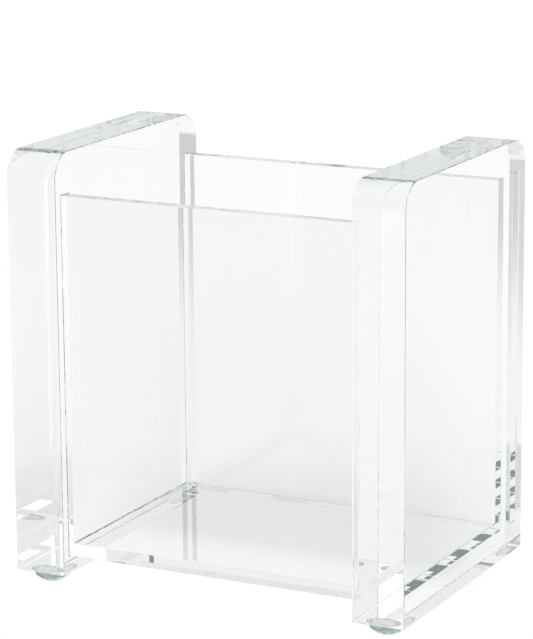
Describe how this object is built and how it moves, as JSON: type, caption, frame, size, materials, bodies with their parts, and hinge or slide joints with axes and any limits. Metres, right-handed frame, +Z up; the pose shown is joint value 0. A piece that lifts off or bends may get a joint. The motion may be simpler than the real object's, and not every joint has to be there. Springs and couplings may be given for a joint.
{
  "type": "pen holder cup",
  "caption": "Square desk cup of clear acrylic with thick rounded side blocks and thin front, back and floor panels.",
  "frame": {"origin": "bottom centre, on the surface that the feet rest on", "axes": "+Z up, the front faces -Y, +X to the right as seen from the front"},
  "size_m": [0.1016, 0.069, 0.1046],
  "materials": {
    "block_acrylic": "polished clear cast acrylic, very faint green in its depth",
    "panel_acrylic": "polished clear acrylic sheet, grey-green at its cut edges",
    "acrylic_cement": "cured clear acrylic cement with tiny bubbles",
    "foot_rubber": "translucent blue-grey moulded polyurethane",
    "foot_adhesive": "clear pressure-sensitive adhesive, wetted out in pale specks"
  },
  "bodies": {
    "root": {"left_side_block": "block_acrylic", "right_side_block": "block_acrylic", "front_panel": "panel_acrylic", "back_panel": "panel_acrylic", "floor_panel": "panel_acrylic", "cement_front_left": "acrylic_cement", "cement_front_right": "acrylic_cement", "cement_back_left": "acrylic_cement", "cement_back_right": "acrylic_cement", "cement_floor_left": "acrylic_cement", "cement_floor_right": "acrylic_cement", "cement_floor_front": "acrylic_cement", "cement_floor_back": "acrylic_cement", "foot_front_left": "foot_rubber", "foot_front_right": "foot_rubber", "foot_back_left": "foot_rubber", "foot_back_right": "foot_rubber", "adhesive_front_left": "foot_adhesive", "adhesive_front_right": "foot_adhesive", "adhesive_back_left": "foot_adhesive", "adhesive_back_right": "foot_adhesive"}
  },
  "joints": []
}
